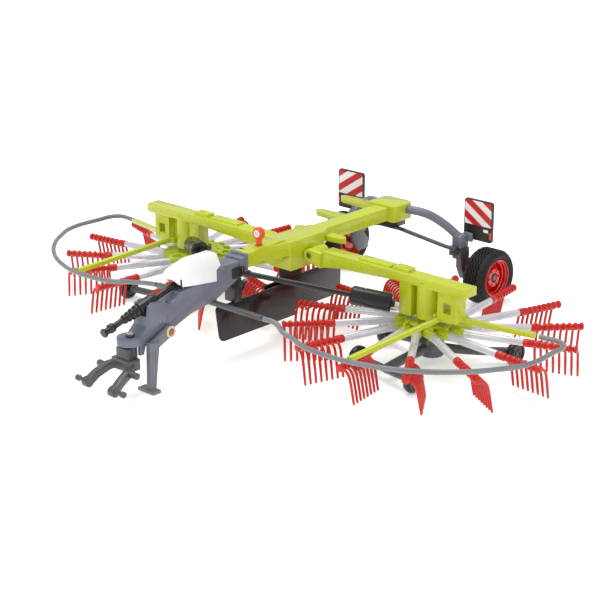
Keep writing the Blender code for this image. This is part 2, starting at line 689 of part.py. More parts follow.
def build_chassis():
    x0 = ROTOR_X
    block = box((x0 - 9, -9, 5.5), (x0 + 9, 9, 20))
    spindle = cylinder((x0, 0, 12), (x0, 0, COLUMN_LOW_Z + 5), SPINDLE_R - 0.5, 20)
    collar = cylinder((x0, 0, 12), (x0, 0, COMB_Z - 1.6), 7.5, 20)
    adds = [block, spindle, collar]
    z = ROTOR_WHEEL_R
    w1, w2, w3, w4 = [(x0 + a, b) for a, b in ROTOR_WHEELS]
    half = ROTOR_WHEEL_W / 2 + 1.3
    paths = [
        ([(x0, -4, 12.5), (x0 - 1, -22, 11.2), (x0 - 1.5, -40, z + 0.6), (x0 - 1.5, -47.5, z)], 7, 5.4),
        ([(w1[0] + half, w1[1], z), (w1[0] + half + 6, w1[1] - 0.5, z),
          (w2[0] - half - 6, w2[1] + 0.5, z), (w2[0] - half, w2[1], z)], 4.6, 4.6),
        ([(x0 + 3, 2, 11), (x0 + 24, 16, 9.6), (w3[0] - half - 3, w3[1] - 1.5, z),
          (w3[0] - half, w3[1], z)], 5.6, 5.2),
        ([(x0 - 3, 2, 11), (x0 - 24, 5, 9.6), (w4[0] + half + 3, w4[1], z),
          (w4[0] + half, w4[1], z)], 5.6, 5.2),
    ]
    for path, width, height in paths:
        adds.append(sweep(path, flat_section(width, height)))
    for (wx, wy), sign in ((w1, -1), (w2, 1), (w3, 1), (w4, -1)):
        start = wx - sign * (half + 2)
        end = wx + sign * (ROTOR_WHEEL_W / 2 - 0.8)
        adds.append(cylinder((start, wy, z), (end, wy, z), 1.3, 10))
    return solid(adds)


def build_rotor_wheel(index):
    wx, wy = ROTOR_WHEELS[index]
    sign = 1 if wx > 0 else -1
    r, w = ROTOR_WHEEL_R, ROTOR_WHEEL_W
    bore = 1.3 + RUN
    start = (ROTOR_X + wx - sign * w / 2, wy, r)
    profile = [(bore, 0.5), (r - 1.6, 0), (r, 1.3), (r, w - 1.3), (r - 1.6, w), (bore, w - 0.5)]
    return revolve(profile, start, (sign, 0, 0), 20)


def drive_line():
    inner = Vector((9.6, GEAR_Y + 1.2, 58.4))
    outer = Vector((94.0, -22.9, 43.8))
    return inner, (outer - inner).normalized(), (outer - inner).length


def build_drive_rod():
    start, direction, length = drive_line()
    profile = [(0, 0), (2.6, 0), (2.6, 3.6), (1.8, 4.4), (1.8, length - 20), (0, length - 20)]
    return revolve(profile, start, direction, 16)


def build_drive_sleeve():
    start, direction, length = drive_line()
    a = length - 27.5
    profile = [
        (1.8 + GAP, a), (5.6, a), (6.4, a + 1.2), (6.4, length - 1.2), (5.6, length), (2.6, length),
        (2.6, length + 2.2), (0, length + 2.2), (0, length - 19), (1.8 + GAP, length - 19),
    ]
    return revolve(profile, start, direction, 24)


# ---------------------------------------------------------------- assembly

def on_side(obj, sign):
    """The left piece as built, or its mirror image for the right side."""
    if sign > 0:
        return obj
    flipped = mirrored(obj)
    bpy.data.objects.remove(obj, do_unlink=True)
    return flipped


def place(side, name, obj, mat, origin=(0, 0, 0)):
    sign = 1 if side == "left" else -1
    x, y, z = origin
    finish(side + "_" + name, on_side(obj, sign), mat, (sign * x, y, z))


def place_rotor(side, name, obj, mat):
    sign = 1 if side == "left" else -1
    obj = on_side(obj, sign)
    phase = Matrix.Rotation(PHASE[side], 4, "Z")
    turned = copy_turned(obj, Matrix.Translation((sign * ROTOR_X, 0, 0)) @ phase)
    bpy.data.objects.remove(obj, do_unlink=True)
    finish(side + "_" + name, turned, mat, (sign * ROTOR_X, 0, COMB_Z))


def build_side(side, pal):
    hinge = (HINGE_X, -14, HINGE_Z)
    wheel = (WHEEL_FACE_X - TYRE_W / 2, WHEEL_Y, WHEEL_R)
    line = tuple(drive_line()[0])
    place(side, "axle", build_axle_half(), pal["slate"])
    place(side, "board", build_board(), pal["white"])
    place(side, "knuckle", build_knuckle(), pal["dark"], (KNUCKLE_X - 4.4, 111.2, 30))
    place(side, "tyre", build_tyre(), pal["rubber"], wheel)
    place(side, "rim", build_rim(), pal["red"], wheel)
    place(side, "arm", build_arm(), pal["lime"], hinge)
    place(side, "hoop", build_hoop(), pal["grey"], hinge)
    place(side, "bearing", build_bearing(), pal["black"], hinge)
    place(side, "chassis", build_chassis(), pal["dark"], hinge)
    place(side, "drive_rod", build_drive_rod(), pal["black"], line)
    place(side, "drive_sleeve", build_drive_sleeve(), pal["black"], line)
    for index, (wx, wy) in enumerate(ROTOR_WHEELS):
        name = "rotor_wheel_" + str(index + 1)
        place(side, name, build_rotor_wheel(index), pal["black"], (ROTOR_X + wx, wy, ROTOR_WHEEL_R))
    place_rotor(side, "rake_arms", build_rotor(), pal["red"])
    place_rotor(side, "hub", build_hub(), pal["lime"])


def build_all():
    clear_scene()
    pal = palette()
    finish("drawbar", build_drawbar(), pal["slate"])
    finish("hood", build_hood(), pal["white"])
    finish("hitch_fork", build_hitch(), pal["dark"], (0, EYE_Y, 0))
    finish("support_leg", build_leg(), pal["grey"], (10, *LEG_PIVOT))
    finish("input_shaft", build_input_shaft(), pal["black"], (0, -114.0, 66.0))
    finish("gearbox", build_gearbox(), pal["black"])
    finish("cross_bar", build_cross_bar(), pal["dark"])
    finish("centre_frame", build_centre_frame(), pal["lime"])
    finish("lever", build_lever(), pal["orange"])
    finish("curtain_front", build_curtain_front(), pal["black"])
    finish("curtain_rear", build_curtain_rear(), pal["black"])
    finish("steer_block", build_steer_block(), pal["black"])
    finish("tie_rod", build_tie_rod(), pal["dark"])
    for side in ("left", "right"):
        build_side(side, pal)


build_all()
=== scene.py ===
import json
import math
import bmesh
import bpy
from mathutils import Matrix, Vector


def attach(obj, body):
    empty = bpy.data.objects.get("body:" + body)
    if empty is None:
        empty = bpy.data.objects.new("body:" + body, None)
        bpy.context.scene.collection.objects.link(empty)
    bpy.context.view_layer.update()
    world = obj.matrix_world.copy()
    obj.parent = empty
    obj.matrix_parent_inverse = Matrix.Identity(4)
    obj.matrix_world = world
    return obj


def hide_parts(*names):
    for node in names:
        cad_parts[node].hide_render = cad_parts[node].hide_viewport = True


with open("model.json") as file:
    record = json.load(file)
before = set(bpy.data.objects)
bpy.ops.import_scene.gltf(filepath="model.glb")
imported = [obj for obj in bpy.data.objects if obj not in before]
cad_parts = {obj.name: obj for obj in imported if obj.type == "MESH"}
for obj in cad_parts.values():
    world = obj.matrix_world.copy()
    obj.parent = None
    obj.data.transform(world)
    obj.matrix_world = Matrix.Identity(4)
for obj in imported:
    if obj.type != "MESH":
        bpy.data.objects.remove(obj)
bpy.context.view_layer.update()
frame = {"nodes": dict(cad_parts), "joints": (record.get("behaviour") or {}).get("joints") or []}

# Pieces are modelled in millimetres from the rotors' own centre line, then placed in the machine
spin = {joint["name"]: joint for joint in frame["joints"]}["left_rotor_spin"]
datum = Vector((0, spin["pos_m"][1], 0))
sides = {"left": 1, "right": -1}
millimetre = 0.001
weldDistance = 0.001          # vertices closer than this are one, in millimetres
moulding = dict(edge=0.3, weld=0.02)
sharpAngle = 38               # degrees between faces from which an edge is rounded
smoothAngle = 34              # degrees up to which shading runs on
toWorld = Matrix.Translation(datum) @ Matrix.Scale(millimetre, 4)
toBench = toWorld.inverted()


def linear(red, green, blue):
    shades = [value / 255 for value in (red, green, blue)]
    return tuple(s / 12.92 if s < 0.04045 else ((s + 0.055) / 1.055) ** 2.4 for s in shades) + (1,)


# Shader node helpers and the two groups that every finish shares
def placed(name, data):
    thing = bpy.data.objects.new(name, data)
    bpy.context.scene.collection.objects.link(thing)
    return thing


def newGroup(name, inputs, outputs):
    tree = bpy.data.node_groups.new(name, "ShaderNodeTree")
    for title, kind, value in inputs:
        socket = tree.interface.new_socket(name=title, in_out="INPUT", socket_type=kind)
        if value is not None:
            socket.default_value = value
    for title, kind in outputs:
        tree.interface.new_socket(name=title, in_out="OUTPUT", socket_type=kind)
    return tree, tree.nodes.new("NodeGroupInput"), tree.nodes.new("NodeGroupOutput")


def noiseNode(tree, vector, scale, detail, roughness=0.55):
    node = tree.nodes.new("ShaderNodeTexNoise")
    node.inputs["Detail"].default_value = detail
    node.inputs["Roughness"].default_value = roughness
    tree.links.new(vector, node.inputs["Vector"])
    if isinstance(scale, (int, float)):
        node.inputs["Scale"].default_value = scale
    else:
        tree.links.new(scale, node.inputs["Scale"])
    return node.outputs["Fac"]


def rangeNode(tree, value, low, high, outLow=0.0, outHigh=1.0):
    node = tree.nodes.new("ShaderNodeMapRange")
    node.interpolation_type = "SMOOTHSTEP"
    tree.links.new(value, node.inputs["Value"])
    for title, number in (("From Min", low), ("From Max", high), ("To Min", outLow), ("To Max", outHigh)):
        node.inputs[title].default_value = number
    return node.outputs["Result"]


def mathNode(tree, operation, first, second=None, third=None):
    node = tree.nodes.new("ShaderNodeMath")
    node.operation = operation
    for socket, value in zip(node.inputs, (first, second, third)):
        if isinstance(value, (int, float)):
            socket.default_value = value
        elif value is not None:
            tree.links.new(value, socket)
    return node.outputs[0]


def mixNode(tree, mask, first, second):
    node = tree.nodes.new("ShaderNodeMix")
    node.data_type = "RGBA"
    tree.links.new(mask, node.inputs[0])
    for socket, value in ((node.inputs[6], first), (node.inputs[7], second)):
        if isinstance(value, tuple):
            socket.default_value = value
        else:
            tree.links.new(value, socket)
    return node.outputs[2]


def makeEdgeWear():
    # light rubbing on the proud edges, broken up by noise
    tree, given, out = newGroup("edgeWear", [
        ("Vector", "NodeSocketVector", None), ("Break Up", "NodeSocketFloat", 260.0),
        ("Amount", "NodeSocketFloat", 0.5)], [("Mask", "NodeSocketFloat")])
    shape = tree.nodes.new("ShaderNodeNewGeometry")
    edge = rangeNode(tree, shape.outputs["Pointiness"], 0.56, 0.68)
    spots = noiseNode(tree, given.outputs["Vector"], given.outputs["Break Up"], 4)
    patchy = rangeNode(tree, spots, 0.42, 0.62)
    mask = mathNode(tree, "MULTIPLY", mathNode(tree, "MULTIPLY", edge, patchy), given.outputs["Amount"])
    tree.links.new(mask, out.inputs["Mask"])
    return tree


def makeMouldedGrain():
    # fine spark-eroded mould texture and slow drifts of gloss and tone
    tree, given, out = newGroup("mouldedGrain", [
        ("Vector", "NodeSocketVector", None), ("Grain Scale", "NodeSocketFloat", 2600.0),
        ("Cloud Scale", "NodeSocketFloat", 45.0)],
        [("Height", "NodeSocketFloat"), ("Gloss", "NodeSocketFloat"), ("Tone", "NodeSocketFloat")])
    vector = given.outputs["Vector"]
    fine = noiseNode(tree, vector, given.outputs["Grain Scale"], 3, 0.6)
    cloud = noiseNode(tree, vector, given.outputs["Cloud Scale"], 4)
    swirl = noiseNode(tree, vector, mathNode(tree, "MULTIPLY", given.outputs["Cloud Scale"], 4.5), 5)
    tree.links.new(fine, out.inputs["Height"])
    mixed = mathNode(tree, "MULTIPLY_ADD", swirl, 0.5, mathNode(tree, "MULTIPLY", cloud, 0.5))
    tree.links.new(rangeNode(tree, mixed, 0.35, 0.65), out.inputs["Gloss"])
    tree.links.new(rangeNode(tree, cloud, 0.35, 0.68), out.inputs["Tone"])
    return tree


edgeWear = makeEdgeWear()
mouldedGrain = makeMouldedGrain()


grainDepth = 0.00006          # metres
coatRoughness = 0.15


def newMaterial(name, look):
    material = bpy.data.materials.new(name)
    material.use_nodes = True
    tree = material.node_tree
    shader = tree.nodes["Principled BSDF"]
    place = tree.nodes.new("ShaderNodeTexCoord").outputs["Object"]
    grain = tree.nodes.new("ShaderNodeGroup")
    grain.node_tree = mouldedGrain
    grain.inputs["Grain Scale"].default_value = look.get("grainScale", 2600)
    grain.inputs["Cloud Scale"].default_value = look.get("cloudScale", 45)
    wear = tree.nodes.new("ShaderNodeGroup")
    wear.node_tree = edgeWear
    wear.inputs["Amount"].default_value = look.get("wear", 0.35)
    for group in (grain, wear):
        tree.links.new(place, group.inputs["Vector"])
    low, high = look["roughness"]
    tree.links.new(rangeNode(tree, grain.outputs["Gloss"], 0, 1, low, high), shader.inputs["Roughness"])
    bump = tree.nodes.new("ShaderNodeBump")
    bump.inputs["Strength"].default_value = look.get("bump", 0.12)
    bump.inputs["Distance"].default_value = grainDepth
    tree.links.new(grain.outputs["Height"], bump.inputs["Height"])
    tree.links.new(bump.outputs["Normal"], shader.inputs["Normal"])
    shader.inputs["Metallic"].default_value = look.get("metallic", 0)
    shader.inputs["Coat Weight"].default_value = look.get("coat", 0)
    shader.inputs["Coat Roughness"].default_value = coatRoughness
    shader.inputs["Specular IOR Level"].default_value = look.get("specular", 0.5)
    return material, tree, shader, place, grain, wear


def plastic(name, look):
    material, tree, shader, _, grain, wear = newMaterial(name, look)
    toned = mixNode(tree, grain.outputs["Tone"], linear(*look["colour"]), linear(*look["shade"]))
    worn = mixNode(tree, wear.outputs["Mask"], toned, linear(*look["edge"]))
    tree.links.new(worn, shader.inputs["Base Color"])
    return material


plastics = {
    "lime": dict(colour=(188, 199, 36), shade=(184, 195, 33), edge=(214, 222, 92), roughness=(0.2, 0.32),
                 coat=0.3, specular=0.4),
    "limeDeep": dict(colour=(176, 190, 31), shade=(171, 185, 28), edge=(206, 214, 86),
                     roughness=(0.26, 0.38), specular=0.4),
    "slate": dict(colour=(110, 114, 129), shade=(105, 109, 124), edge=(156, 159, 170),
                  roughness=(0.26, 0.4)),
    "graphite": dict(colour=(76, 77, 81), shade=(67, 68, 72), edge=(124, 125, 129), roughness=(0.2, 0.36),
                     coat=0.2),
    "hoopGrey": dict(colour=(122, 125, 127), shade=(112, 115, 117), edge=(156, 158, 160),
                     roughness=(0.24, 0.36)),
    "legGrey": dict(colour=(118, 120, 126), shade=(109, 111, 117), edge=(152, 154, 160),
                    roughness=(0.28, 0.42)),
    "white": dict(colour=(246, 246, 247), shade=(240, 240, 242), edge=(252, 252, 252),
                  roughness=(0.2, 0.32), coat=0.2),
    "black": dict(colour=(22, 20, 20), shade=(18, 17, 17), edge=(70, 68, 67), roughness=(0.2, 0.34),
                  specular=0.4, coat=0.2),
    "curtainBlack": dict(colour=(30, 25, 23), shade=(22, 18, 17), edge=(80, 74, 70), roughness=(0.16, 0.28),
                         specular=0.35, coat=0.15),
    "combRed": dict(colour=(196, 28, 14), shade=(186, 24, 12), edge=(230, 84, 62), roughness=(0.22, 0.34),
                    specular=0.35, coat=0.15, wear=0.3),
    "rimRed": dict(colour=(206, 26, 16), shade=(190, 21, 12), edge=(232, 78, 60), roughness=(0.16, 0.28),
                   coat=0.3),
    "tubeSilver": dict(colour=(206, 206, 213), shade=(196, 197, 205), edge=(226, 226, 232),
                       roughness=(0.2, 0.32), metallic=0.2, coat=0.2, wear=0.15),
    "leverOrange": dict(colour=(232, 84, 26), shade=(222, 75, 21), edge=(244, 132, 84),
                        roughness=(0.24, 0.36)),
    "boneCream": dict(colour=(212, 204, 178), shade=(200, 192, 166), edge=(230, 224, 204),
                      roughness=(0.3, 0.42)),
    "copperTan": dict(colour=(172, 114, 78), shade=(156, 100, 66), edge=(206, 158, 124),
                      roughness=(0.28, 0.4), metallic=0.4),
    "tyreRubber": dict(colour=(26, 25, 26), shade=(36, 35, 35), edge=(76, 74, 72), roughness=(0.5, 0.66),
                       grainScale=1700, bump=0.3, specular=0.28, wear=0.6),
}
finish = {name: plastic(name, look) for name, look in plastics.items()}


# Modelling tools; they work in millimetres, and makePiece places the result
def recalculated(bm):
    bmesh.ops.recalc_face_normals(bm, faces=bm.faces)
    return bm


def roundEdges(bm, width, angle=sharpAngle, segments=2, edges=None, clamp=True):
    if edges is None:
        limit = math.radians(angle)
        edges = [e for e in bm.edges if len(e.link_faces) == 2 and e.calc_face_angle(0) > limit]
    bmesh.ops.bevel(bm, geom=edges, offset=width, offset_type="OFFSET", segments=segments, profile=0.5,
                    affect="EDGES", clamp_overlap=clamp, material=-1)
    return bm


def spun(profile, start=(0, 0, 0), direction=(0, 0, 1), steps=48, edge=0.0):
    # profile is (radius, distance along the axis), turned once round the axis
    bm = bmesh.new()
    points = [bm.verts.new((radius, 0, height)) for radius, height in profile]
    lines = [bm.edges.new(pair) for pair in zip(points, points[1:])]
    if profile[0][0] > 0:
        lines.append(bm.edges.new((points[-1], points[0])))
    bmesh.ops.spin(bm, geom=points + lines, cent=(0, 0, 0), axis=(0, 0, 1), angle=2 * math.pi, steps=steps,
                   use_merge=True)
    bmesh.ops.remove_doubles(bm, verts=bm.verts, dist=weldDistance)
    recalculated(bm)
    if edge:
        roundEdges(bm, edge, 30)
    turn = Vector(direction).to_track_quat("Z", "Y").to_matrix().to_4x4()
    bmesh.ops.transform(bm, matrix=Matrix.Translation(start) @ turn, verts=bm.verts)
    return bm


def rod(start, end, radius, endRadius=None, steps=32, edge=0.3):
    length = (Vector(end) - Vector(start)).length
    last = radius if endRadius is None else endRadius
    return spun([(0, 0), (radius, 0), (last, length), (0, length)], start, Vector(end) - Vector(start),
                steps, edge)


def brick(low, high):
    bm = bmesh.new()
    bmesh.ops.create_cube(bm, size=1)
    low, high = Vector(low), Vector(high)
    bmesh.ops.scale(bm, vec=high - low, verts=bm.verts)
    bmesh.ops.translate(bm, vec=(low + high) / 2, verts=bm.verts)
    return bm


def block(low, high, edge=0.5, segments=3):
    return roundEdges(brick(low, high), edge, segments=segments)


def tubeAlong(points, radius, thickness=None, roundness=4, steps=4):
    curve = bpy.data.curves.new("path", "CURVE")
    curve.dimensions = "3D"
    curve.bevel_depth = radius
    curve.bevel_resolution = roundness
    curve.resolution_u = steps
    curve.use_fill_caps = True
    spline = curve.splines.new("BEZIER")
    spline.bezier_points.add(len(points) - 1)
    for knot, place, share in zip(spline.bezier_points, points, thickness or [1] * len(points)):
        knot.co = place
        knot.handle_left_type = knot.handle_right_type = "AUTO"
        knot.radius = share
    holder = placed("path", curve)
    mesh = bpy.data.meshes.new_from_object(holder.evaluated_get(bpy.context.evaluated_depsgraph_get()))
    bm = bmesh.new()
    bm.from_mesh(mesh)
    bpy.data.objects.remove(holder)
    bpy.data.curves.remove(curve)
    bpy.data.meshes.remove(mesh)
    bmesh.ops.remove_doubles(bm, verts=bm.verts, dist=weldDistance)
    return recalculated(bm)


def joined(parts):
    whole = bmesh.new()
    for part in parts:
        mesh = bpy.data.meshes.new("part")
        part.to_mesh(mesh)
        part.free()
        whole.from_mesh(mesh)
        bpy.data.meshes.remove(mesh)
    return whole


def copied(bm, matrix):
    twin = bm.copy()
    bmesh.ops.transform(twin, matrix=matrix, verts=twin.verts)
    return twin


def onSide(bm, sign):
    # left as modelled, right as its mirror image
    if sign < 0:
        bmesh.ops.scale(bm, vec=(-1, 1, 1), verts=bm.verts)
        recalculated(bm)
    return bm


def softened(node):
    # the moulded piece with its edges rounded
    bm = bmesh.new()
    bm.from_mesh(frame["nodes"][node].data)
    bmesh.ops.transform(bm, matrix=toBench, verts=bm.verts)
    bmesh.ops.remove_doubles(bm, verts=bm.verts, dist=moulding["weld"])
    return roundEdges(bm, moulding["edge"], clamp=False)


def makePiece(name, bm, material, body, slot, *nodes):
    bmesh.ops.transform(bm, matrix=toWorld, verts=bm.verts)
    mesh = bpy.data.meshes.new(name)
    bm.to_mesh(mesh)
    bm.free()
    mesh.shade_smooth()
    mesh.set_sharp_from_angle(angle=math.radians(smoothAngle))
    mesh.materials.append(material)
    piece = placed(name, mesh)
    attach(piece, body)
    if nodes:
        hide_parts(*nodes)


# Camera, lights and floor
view = dict(place=(0.7303, -0.7843, 0.4053), round=42.28, up=19.55, lens=98.16)
camera = placed("camera", bpy.data.cameras.new("camera"))
around, above = math.radians(view["round"]), math.radians(view["up"])
back = Vector((math.sin(around) * math.cos(above), -math.cos(around) * math.cos(above), math.sin(above)))
camera.location = view["place"]
camera.rotation_mode = "QUATERNION"
camera.rotation_quaternion = (-back).to_track_quat("-Z", "Y")
camera.data.lens = view["lens"]
camera.data.sensor_width = 36
bpy.context.scene.camera = camera

studio = dict(floorSize=9.0, floor=(250, 250, 250), sky=(255, 255, 255), skyStrength=0.62, floorGlow=0.34)
lamps = {
    "overhead": dict(place=(-0.35, 0.1, 1.5), aim=(0, 0, 0), size=1.1, power=15),
    "front": dict(place=(0.1, -1.8, 1.0), aim=(0, 0, 0.03), size=0.9, power=10),
    "flank": dict(place=(1.8, 0.2, 0.8), aim=(0, 0, 0.03), size=0.9, power=5),
}


def makeStudio():
    bm = bmesh.new()
    bmesh.ops.create_grid(bm, x_segments=2, y_segments=2, size=studio["floorSize"] / 2)
    mesh = bpy.data.meshes.new("floor")
    bm.to_mesh(mesh)
    bm.free()
    floor = placed("floor", mesh)
    look = dict(roughness=(0.75, 0.85), bump=0.02, wear=0, grainScale=300, cloudScale=3,
                colour=studio["floor"], shade=(248, 248, 248), edge=studio["floor"])
    pale = plastic("paleFloor", look)
    shader = pale.node_tree.nodes["Principled BSDF"]
    shader.inputs["Emission Color"].default_value = (1, 1, 1, 1)
    shader.inputs["Emission Strength"].default_value = studio["floorGlow"]
    mesh.materials.append(pale)
    for name, lamp in lamps.items():
        data = bpy.data.lights.new(name, "AREA")
        data.shape = "SQUARE"
        data.size = lamp["size"]
        data.energy = lamp["power"]
        light = placed(name, data)
        light.location = lamp["place"]
        light.rotation_mode = "QUATERNION"
        light.rotation_quaternion = (Vector(lamp["aim"]) - Vector(lamp["place"])).to_track_quat("-Z", "Y")
    world = bpy.data.worlds.new("studio")
    world.use_nodes = True
    sky = world.node_tree.nodes["Background"]
    sky.inputs["Color"].default_value = linear(*studio["sky"])
    sky.inputs["Strength"].default_value = studio["skyStrength"]
    bpy.context.scene.world = world
    bpy.context.scene.view_settings.view_transform = "Standard"


makeStudio()
print("stage: studio ready")


# Rotors: tubes, combs and hub plates
rotor = dict(axisX=110.6, arms=14, offset=9.0, reach=100.0, combZ=26.0, rootLift=1.2, combLength=31.0,
             phase={"left": 41.36, "right": 115.42})
tube = dict(rootRadius=2.95, tipRadius=2.35, rootX=12.0, sleeveX=64.0, sleeveRadius=2.75)
comb = dict(barRadius=1.75, beadRadius=2.75, beadWidth=2.5, tines=8, inset=1.3, tineRadius=0.92,
            path=[(0, 0), (3.4, -1.0), (5.9, -3.4), (7.2, -7.2), (8.3, -12.2), (9.35, -17.8),
                  (10.15, -22.0), (10.22, -22.5)],
            thickness=[1, 1, 1, 1, 1, 0.97, 0.88, 0.5])
hub = dict(radius=19.0, bore=4.6, low=29.7, sleeveStart=9.0, sleeveEnd=24.2, sleeveRadius=3.6,
           lowerRadius=17.0, lowerZ=25.0)
barEnd = math.sqrt(rotor["reach"] ** 2 - rotor["offset"] ** 2)
barStart = barEnd - rotor["combLength"]


def roundRotor(unit, side):
    # one arm's shape, repeated round the rotor
    lead = math.asin(rotor["offset"] / rotor["reach"])
    ring = []
    for k in range(rotor["arms"]):
        turn = Matrix.Rotation(2 * math.pi * k / rotor["arms"] + lead, 4, "Z")
        ring.append(copied(unit, turn @ Matrix.Translation((0, -rotor["offset"], rotor["combZ"]))))
    unit.free()
    whole = onSide(joined(ring), sides[side])
    phase = Matrix.Rotation(math.radians(rotor["phase"][side]), 4, "Z")
    bmesh.ops.transform(whole, matrix=Matrix.Translation((sides[side] * rotor["axisX"], 0, 0)) @ phase,
                        verts=whole.verts)
    return whole


def makeTubeUnit():
    lift = rotor["rootLift"]
    start, end = Vector((tube["rootX"], 0, lift)), Vector((barStart + 2, 0, 0))
    return rod(start, end, tube["rootRadius"], tube["tipRadius"], 24)


def makeCombUnit():
    parts = [rod((barStart - 0.2, 0, 0), (barEnd, 0, 0), comb["barRadius"], steps=14)]
    parts.append(rod((tube["sleeveX"], 0, 0.1), (barStart + 0.4, 0, 0), tube["sleeveRadius"], steps=18,
                     edge=0.4))
    spacing = (rotor["combLength"] - 2 * comb["inset"]) / (comb["tines"] - 1)
    tine = tubeAlong([(0, y, z) for y, z in comb["path"]], comb["tineRadius"], comb["thickness"], 2, 2)
    half, r = comb["beadWidth"] / 2, comb["beadRadius"]
    bead = spun([(0, -half), (r - 0.8, -half), (r - 0.2, -half + 0.45), (r, 0), (r - 0.2, half - 0.45),
                 (r - 0.8, half), (0, half)], (0, 0, 0), (1, 0, 0), 14)
    for i in range(comb["tines"]):
        shift = Matrix.Translation((barStart + comb["inset"] + i * spacing, 0, 0))
        parts = parts + [copied(tine, shift), copied(bead, shift)]
    tine.free()
    bead.free()
    return joined(parts)


def makeHub(side):
    lift = rotor["rootLift"]
    sleeve = rod((hub["sleeveStart"], 0, lift), (hub["sleeveEnd"], 0, lift - 0.25),
                 hub["sleeveRadius"] + 0.2, hub["sleeveRadius"] - 0.25, 20, 0.35)
    rib = block((11, -1.1, lift + 1.8), (hub["sleeveEnd"] - 2.4, 1.1, lift + 5.1), 0.4, 2)
    fingers = roundRotor(joined([sleeve, rib]), side)
    x = sides[side] * rotor["axisX"]
    low, bore, r = hub["low"], hub["bore"], hub["radius"]
    plate = spun([(bore, low), (r - 3, low), (r, low + 0.6), (r, low + 1.7), (r - 0.5, low + 2.2),
                  (14.4, low + 2.2), (14.0, low + 1.8), (11.4, low + 1.8), (11.0, low + 2.2),
                  (bore, low + 2.2)],
                 (x, 0, 0), steps=84)
    under = spun([(bore, hub["lowerZ"]), (hub["lowerRadius"], hub["lowerZ"]),
                  (hub["lowerRadius"], low - 0.5), (bore, low - 0.5)], (x, 0, 0), steps=84, edge=0.4)
    return joined([fingers, plate, under])


for side in sides:
    body = side + "_rotor"
    makePiece(side + "_armTubes", roundRotor(makeTubeUnit(), side), finish["tubeSilver"], body, "red")
    makePiece(side + "_combs", roundRotor(makeCombUnit(), side), finish["combRed"], body, "red",
              side + "_rake_arms")
    makePiece(side + "_hubPlate", makeHub(side), finish["limeDeep"], body, "lime", side + "_hub")
print("stage: rotors ready")


# Rear wheels; a spun profile lists radius and distance along the axle
tyre = dict(radius=21.0, width=19.0, beadRadius=14.5, axleY=119.5, faceX=78.7, steps=112, ribs=5,
            groove=1.7, wave=0.85, waves=28, ribsFrom=19.7)
notch = {"from": 19.4, "to": 20.95, "share": 0.45, "scale": 0.965}
rim = dict(radius=14.2, bore=2.75, bolts=6, boltCircle=5.6)


def makeTyre(sign):
    r, w = tyre["radius"], tyre["width"]
    profile = [(tyre["beadRadius"], 1.6), (15.4, 0.7), (16.3, 0.35), (17.2, 0.1), (17.7, 0.35), (18.2, 0.1),
               (19.0, 0.6), (19.6, 1.1), (20.3, 1.9), (20.8, 2.8)]
    left, right = 3.3, w - 3.3
    pitch = (right - left) / tyre["ribs"]
    for i in range(tyre["ribs"]):
        at = left + i * pitch
        profile = profile + [(r - 0.05, at + 0.1), (r, at + pitch * 0.35), (r - 0.05, at + pitch - 0.95)]
        if i < tyre["ribs"] - 1:
            profile = profile + [(r - tyre["groove"], at + pitch - 0.8),
                                 (r - tyre["groove"], at + pitch - 0.05)]
    half = [(a, w - b) for a, b in reversed(profile[:10])]
    bm = spun(profile + half, (0, 0, 0), (0, 0, 1), tyre["steps"])
    # the ribs run in a zigzag and the shoulders are cut into blocks
    for vert in bm.verts:
        turn = (math.atan2(vert.co.y, vert.co.x) / (2 * math.pi) * tyre["waves"]) % 1
        radius = math.hypot(vert.co.x, vert.co.y)
        swing = 1 - abs(2 * turn - 1) * 2
        if radius > tyre["ribsFrom"] and 3 < vert.co.z < w - 3:
            vert.co.z += swing * tyre["wave"]
        elif notch["from"] < radius < notch["to"] and turn < notch["share"]:
            vert.co.xy *= notch["scale"]
    place = Matrix.Translation((tyre["faceX"] - w, tyre["axleY"], r)) @ Matrix.Rotation(math.pi / 2, 4, "Y")
    bmesh.ops.transform(bm, matrix=place, verts=bm.verts)
    return onSide(bm, sign)


def makeRim(sign):
    r, w, bore = rim["radius"], tyre["width"], rim["bore"]
    x, y, z = tyre["faceX"] - w, tyre["axleY"], tyre["radius"]
    profile = [(bore, 3.5), (6.8, 3.5), (7.5, 4.0), (8.4, 7.0), (r - 2.2, 7.0), (r - 1.9, 5.2),
               (r - 1.5, 4.8), (r - 1.2, 1.4), (r - 0.8, 1.0), (r, 1.4), (r, w - 1.4), (r - 0.5, w - 1.0),
               (r - 1.1, w - 1.3), (r - 1.3, w - 2.6), (r - 1.9, w - 3.0), (r - 2.0, w - 5.0),
               (r - 2.7, w - 5.5), (r - 2.8, 9.4), (9.4, 9.2), (8.6, 9.8), (8.0, 12.2), (7.4, 12.6),
               (7.0, w - 4.6), (6.6, w - 4.2), (3.8, w - 4.2), (3.5, w - 5.4), (bore, w - 5.4)]
    parts = [spun(profile, (x, y, z), (1, 0, 0), 72)]
    for k in range(rim["bolts"]):
        angle = 2 * math.pi * k / rim["bolts"]
        bolt = (x + w - 4.4, y + rim["boltCircle"] * math.cos(angle),
                z + rim["boltCircle"] * math.sin(angle))
        parts.append(spun([(0, 0), (0.75, 0), (0.75, 0.75), (0.5, 1.0), (0, 1.0)], bolt, (1, 0, 0), 6))
    return onSide(joined(parts), sign)


def makeAxleCap(sign):
    x = tyre["faceX"] - 5.6
    profile = [(0, 0), (2.6, 0), (2.6, 1.2), (2.0, 1.9), (0, 2.1)]
    return onSide(spun(profile, (x, tyre["axleY"], tyre["radius"]), (1, 0, 0), 32), sign)


